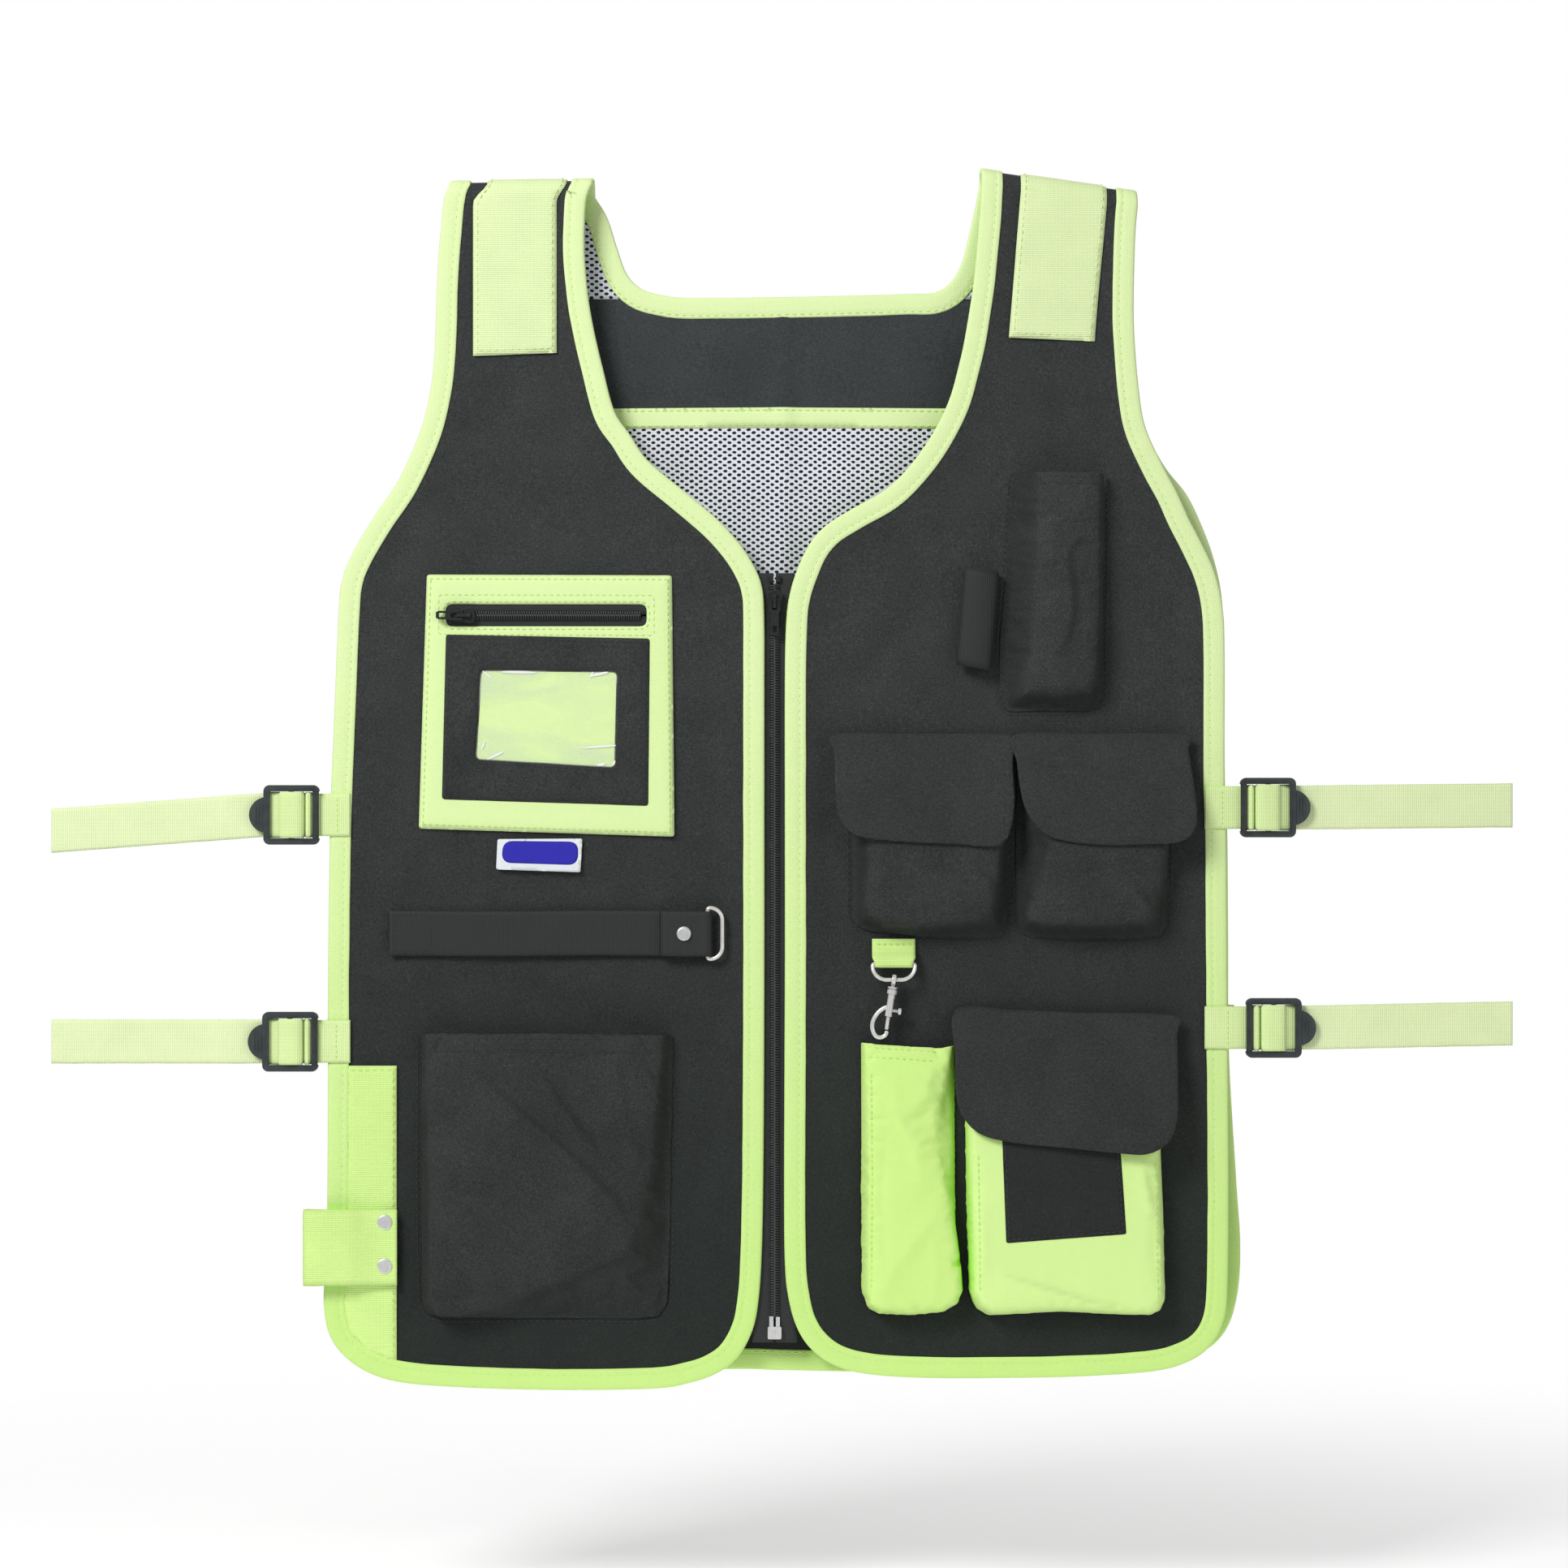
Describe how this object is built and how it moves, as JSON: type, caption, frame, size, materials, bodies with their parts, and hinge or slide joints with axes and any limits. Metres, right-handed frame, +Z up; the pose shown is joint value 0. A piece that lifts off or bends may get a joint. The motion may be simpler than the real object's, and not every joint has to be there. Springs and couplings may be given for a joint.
{
  "type": "high visibility tool vest",
  "caption": "Sleeveless zip-front work vest with high-visibility edging, flap, bellows and badge pockets, tool loops, D rings and adjustable side straps.",
  "frame": {"origin": "middle of the bounding box's underside, at the hem", "axes": "+X towards the wearer's left, +Y towards the wearer's back, +Z up to the shoulders"},
  "size_m": [0.855, 0.0436, 0.7125],
  "materials": {
    "black_oxford": "fine plain-weave polyester oxford",
    "lime_webbing": "ribbed fluorescent polyester webbing",
    "lime_oxford": "fluorescent polyester oxford",
    "black_webbing": "ribbed polypropylene webbing",
    "grey_mesh": "knitted air mesh",
    "hook_loop": "hook and loop tape",
    "clear_vinyl": "clear soft vinyl",
    "label_cloth": "woven label",
    "black_acetal": "satin moulded acetal",
    "coil_nylon": "nylon coil",
    "zip_metal": "black lacquered zinc",
    "silver_metal": "plated zinc",
    "nickel": "nickel plate"
  },
  "bodies": {
    "vest_shell": {"right_front_panel": "black_oxford", "left_front_panel": "black_oxford", "back_panel": "black_oxford", "back_yoke_lining": "black_oxford", "mesh_linings": "grey_mesh", "back_seam_tape": "lime_webbing", "right_front_binding": "lime_oxford", "left_front_binding": "lime_oxford", "back_binding": "lime_oxford", "shoulder_webbings": "lime_webbing", "side_webbing": "lime_webbing", "hammer_loop": "lime_webbing", "hammer_loop_rivets": "nickel", "zip_tapes": "black_webbing", "zip_coils": "coil_nylon", "zip_top_stops": "zip_metal", "zip_retainer_box": "silver_metal", "zip_insert_pin": "silver_metal", "id_pocket_panel": "lime_oxford", "id_zip_tape": "black_webbing", "id_zip_coil": "coil_nylon", "id_badge_panel": "black_oxford", "id_window": "clear_vinyl", "utility_snap_stud": "silver_metal", "cargo_pocket": "black_oxford", "radio_pocket": "black_oxford", "narrow_pocket": "lime_oxford", "inner_chest_pocket": "black_oxford", "outer_chest_pocket": "black_oxford", "lower_pocket": "lime_oxford", "lower_pocket_loop_patch": "hook_loop", "pen_loop": "black_webbing", "key_tab": "lime_webbing", "side_tabs": "lime_webbing", "back_strap_stubs": "lime_webbing"},
    "main_zip_slider": {"zip_slider": "zip_metal"},
    "main_zip_pull": {"zip_pull": "zip_metal"},
    "id_zip_slider": {"id_zip_slider": "zip_metal"},
    "id_zip_pull": {"id_zip_pull": "zip_metal"},
    "label": {"label_tag": "label_cloth"},
    "utility_strap": {"utility_strap": "black_webbing", "utility_snap_cap": "silver_metal"},
    "utility_ring": {"utility_d_ring": "nickel"},
    "inner_chest_flap": {"inner_chest_flap": "black_oxford"},
    "outer_chest_flap": {"outer_chest_flap": "black_oxford"},
    "lower_flap": {"lower_flap": "black_oxford", "lower_flap_hook_patch": "hook_loop"},
    "key_ring": {"key_d_ring": "nickel"},
    "snap_hook_eye": {"snap_hook_eye": "nickel"},
    "snap_hook_body": {"snap_hook_body": "nickel", "snap_hook_spring": "silver_metal"},
    "snap_hook_bolt": {"snap_hook_bolt": "nickel"},
    "right_upper_buckle": {"right_upper_buckle": "black_acetal"},
    "right_upper_strap": {"right_upper_strap": "lime_webbing"},
    "right_lower_buckle": {"right_lower_buckle": "black_acetal"},
    "right_lower_strap": {"right_lower_strap": "lime_webbing"},
    "left_upper_buckle": {"left_upper_buckle": "black_acetal"},
    "left_upper_strap": {"left_upper_strap": "lime_webbing"},
    "left_lower_buckle": {"left_lower_buckle": "black_acetal"},
    "left_lower_strap": {"left_lower_strap": "lime_webbing"}
  },
  "joints": [
    {"name": "main_zip_run", "type": "slide", "parent": "vest_shell", "child": "main_zip_slider", "axis": [0, 0, 1], "range_m": [-0.412, 0]},
    {"name": "main_zip_pull_swing", "type": "hinge", "parent": "main_zip_slider", "child": "main_zip_pull", "pos_m": [-0.0043, -0.00132, 0.4627], "axis": [-1, 0, 0], "range_deg": [0, 150]},
    {"name": "id_zip_run", "type": "slide", "parent": "vest_shell", "child": "id_zip_slider", "axis": [1, 0, 0], "range_m": [0, 0.098]},
    {"name": "id_zip_pull_swing", "type": "hinge", "parent": "id_zip_slider", "child": "id_zip_pull", "pos_m": [-0.18696, -0.00562, 0.45339], "axis": [0, 0, 1], "range_deg": [0, 150]},
    {"name": "label_flip", "type": "hinge", "parent": "vest_shell", "child": "label", "pos_m": [-0.14155, 0.00023, 0.32347], "axis": [-1, 0, 0], "range_deg": [0, 100]},
    {"name": "utility_strap_open", "type": "hinge", "parent": "vest_shell", "child": "utility_strap", "pos_m": [-0.22966, -0.00007, 0.26743], "axis": [0, 0, -1], "range_deg": [0, 70]},
    {"name": "utility_ring_swing", "type": "hinge", "parent": "utility_strap", "child": "utility_ring", "pos_m": [-0.04346, -0.00217, 0.26743], "axis": [0, 0, -1], "range_deg": [-10, 75]},
    {"name": "inner_chest_flap_open", "type": "hinge", "parent": "vest_shell", "child": "inner_chest_flap", "pos_m": [0.0835, -0.00277, 0.38238], "axis": [-1, 0, 0], "range_deg": [0, 115]},
    {"name": "outer_chest_flap_open", "type": "hinge", "parent": "vest_shell", "child": "outer_chest_flap", "pos_m": [0.19, -0.00277, 0.38238], "axis": [-1, 0, 0], "range_deg": [0, 115]},
    {"name": "lower_flap_open", "type": "hinge", "parent": "vest_shell", "child": "lower_flap", "pos_m": [0.166, -0.00277, 0.22135], "axis": [-1, 0, 0], "range_deg": [0, 115]},
    {"name": "key_ring_swing", "type": "hinge", "parent": "vest_shell", "child": "key_ring", "pos_m": [0.06531, -0.00377, 0.24985], "axis": [-1, 0, 0], "range_deg": [0, 90]},
    {"name": "snap_hook_swing", "type": "hinge", "parent": "key_ring", "child": "snap_hook_eye", "pos_m": [0.06531, -0.0068, 0.24053], "axis": [-1, 0, 0], "range_deg": [-8, 60]},
    {"name": "snap_hook_swivel", "type": "hinge", "parent": "snap_hook_eye", "child": "snap_hook_body", "pos_m": [0.06531, -0.0068, 0.24053], "axis": [0.1478, 0, 0.989], "range_deg": [0, 180]},
    {"name": "snap_hook_gate", "type": "slide", "parent": "snap_hook_body", "child": "snap_hook_bolt", "axis": [0.1478, 0, 0.989], "range_m": [0, 0.005], "stiffness_N_per_m": 150, "deforming": ["snap_hook_spring"]},
    {"name": "right_upper_buckle_lift", "type": "hinge", "parent": "vest_shell", "child": "right_upper_buckle", "pos_m": [-0.2724, -0.00277, 0.33677], "axis": [0, 0, 1], "range_deg": [0, 60]},
    {"name": "right_upper_strap_pull", "type": "slide", "parent": "vest_shell", "child": "right_upper_strap", "axis": [-1, 0, 0], "range_m": [0, 0.02]},
    {"name": "right_lower_buckle_lift", "type": "hinge", "parent": "vest_shell", "child": "right_lower_buckle", "pos_m": [-0.2731, -0.00277, 0.20425], "axis": [0, 0, 1], "range_deg": [0, 60]},
    {"name": "right_lower_strap_pull", "type": "slide", "parent": "vest_shell", "child": "right_lower_strap", "axis": [-1, 0, 0], "range_m": [0, 0.02]},
    {"name": "left_upper_buckle_lift", "type": "hinge", "parent": "vest_shell", "child": "left_upper_buckle", "pos_m": [0.2698, -0.00277, 0.34105], "axis": [0, 0, -1], "range_deg": [0, 60]},
    {"name": "left_upper_strap_pull", "type": "slide", "parent": "vest_shell", "child": "left_upper_strap", "axis": [1, 0, 0], "range_m": [0, 0.02]},
    {"name": "left_lower_buckle_lift", "type": "hinge", "parent": "vest_shell", "child": "left_lower_buckle", "pos_m": [0.2731, -0.00277, 0.21232], "axis": [0, 0, -1], "range_deg": [0, 60]},
    {"name": "left_lower_strap_pull", "type": "slide", "parent": "vest_shell", "child": "left_lower_strap", "axis": [1, 0, 0], "range_m": [0, 0.02]}
  ]
}
